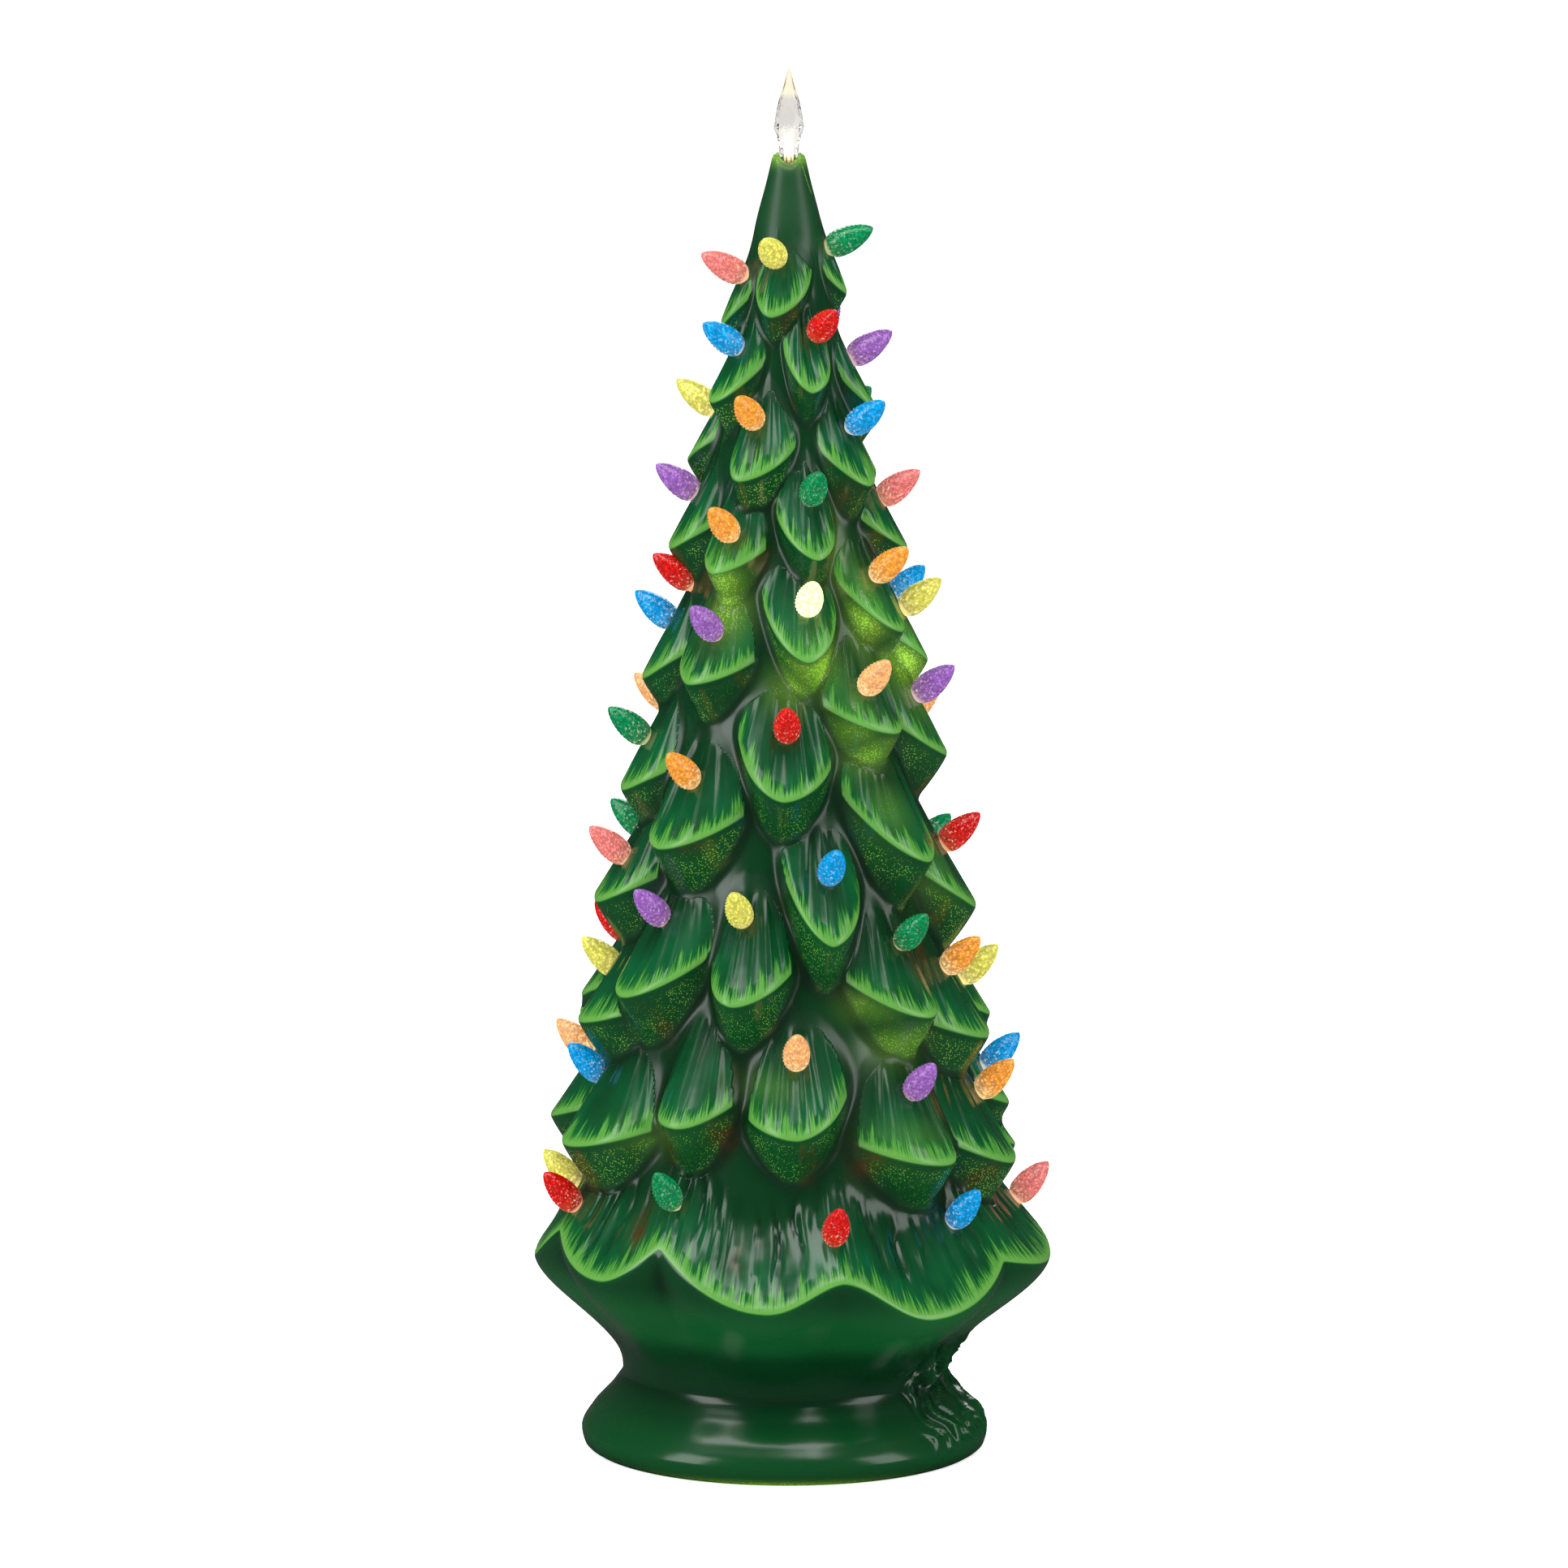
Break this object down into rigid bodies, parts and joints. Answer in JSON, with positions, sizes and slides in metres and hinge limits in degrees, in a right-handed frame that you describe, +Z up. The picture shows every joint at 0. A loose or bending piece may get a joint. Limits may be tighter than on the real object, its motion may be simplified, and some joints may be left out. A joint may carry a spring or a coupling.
{
  "type": "light-up christmas tree figurine",
  "caption": "Tall glazed ceramic tree with layered pointed leaves, small coloured light bulbs, a clear flame at the top, and a round foot with a battery base.",
  "frame": {"origin": "centre of the foot ring, on the table", "axes": "+Z up along the tree, the pictured side faces -Y"},
  "size_m": [0.2283, 0.2284, 0.6108],
  "materials": {
    "black_plastic": "fine moulded texture",
    "steel": "bright plated steel",
    "cell_sleeve": "plain sleeve on a steel can",
    "bulb_yellow": "textured translucent plastic, lit from inside",
    "bulb_green": "textured translucent plastic, lit from inside",
    "bulb_pink": "textured translucent plastic, lit from inside",
    "bulb_red": "textured translucent plastic, lit from inside",
    "bulb_blue": "textured translucent plastic, lit from inside",
    "bulb_orange": "textured translucent plastic, lit from inside",
    "bulb_white": "textured translucent plastic, lit from inside",
    "bulb_purple": "textured translucent plastic, lit from inside",
    "bulb_peach": "textured translucent plastic, lit from inside",
    "board_green": "solder mask",
    "clear_bulb": "clear faceted plastic that passes light",
    "wire_green": "thin insulated wire",
    "string_bulbs": "textured translucent plastic, a different colour on each bulb",
    "green_glaze": "deep green glossy glaze over fired ceramic, light green brushed leaf edges"
  },
  "bodies": {
    "tree": {"base_plate": "black_plastic", "base_screw_1": "steel", "base_screw_2": "steel", "base_screw_3": "steel", "battery_cell_1": "cell_sleeve", "battery_cell_2": "cell_sleeve", "battery_cell_3": "cell_sleeve", "bulb_01_yellow": "bulb_yellow", "bulb_02_green": "bulb_green", "bulb_03_pink": "bulb_pink", "bulb_04_red": "bulb_red", "bulb_05_blue": "bulb_blue", "bulb_06_orange": "bulb_orange", "bulb_07_blue": "bulb_blue", "bulb_08_green": "bulb_green", "bulb_09_orange": "bulb_orange", "bulb_10_white": "bulb_white", "bulb_11_orange": "bulb_orange", "bulb_12_purple": "bulb_purple", "bulb_13_red": "bulb_red", "bulb_14_orange": "bulb_orange", "bulb_15_peach": "bulb_peach", "bulb_16_blue": "bulb_blue", "bulb_17_purple": "bulb_purple", "bulb_18_yellow": "bulb_yellow", "bulb_19_green": "bulb_green", "bulb_20_peach": "bulb_peach", "bulb_21_purple": "bulb_purple", "bulb_22_green": "bulb_green", "bulb_23_red": "bulb_red", "bulb_24_blue": "bulb_blue", "circuit_board": "board_green", "contact_end": "steel", "contact_left_bridge": "steel", "contact_right_bridge": "steel", "contact_start": "steel", "crown_bulb": "clear_bulb", "crown_light": "wire_green", "hinge_pin": "steel", "lamps_front_left": "wire_green", "lamps_front_middle": "wire_green", "lamps_front_right": "wire_green", "string_back": "string_bulbs", "string_back_left": "string_bulbs", "string_back_right": "string_bulbs", "string_left": "string_bulbs", "string_left_rear": "string_bulbs", "string_right": "string_bulbs", "string_right_rear": "string_bulbs", "switch_body": "black_plastic", "tree_shell": "green_glaze", "wire_harness": "wire_green"},
    "door": {"battery_door": "black_plastic"},
    "slider": {"switch_slider": "black_plastic"}
  },
  "joints": [
    {"name": "door_hinge", "type": "hinge", "parent": "tree", "child": "door", "pos_m": [0, -0.04175, 0.0049], "axis": [-1, 0, 0], "range_deg": [0, 95]},
    {"name": "switch_slide", "type": "slide", "parent": "tree", "child": "slider", "axis": [1, 0, 0], "range_m": [-0.0025, 0.0025]}
  ]
}
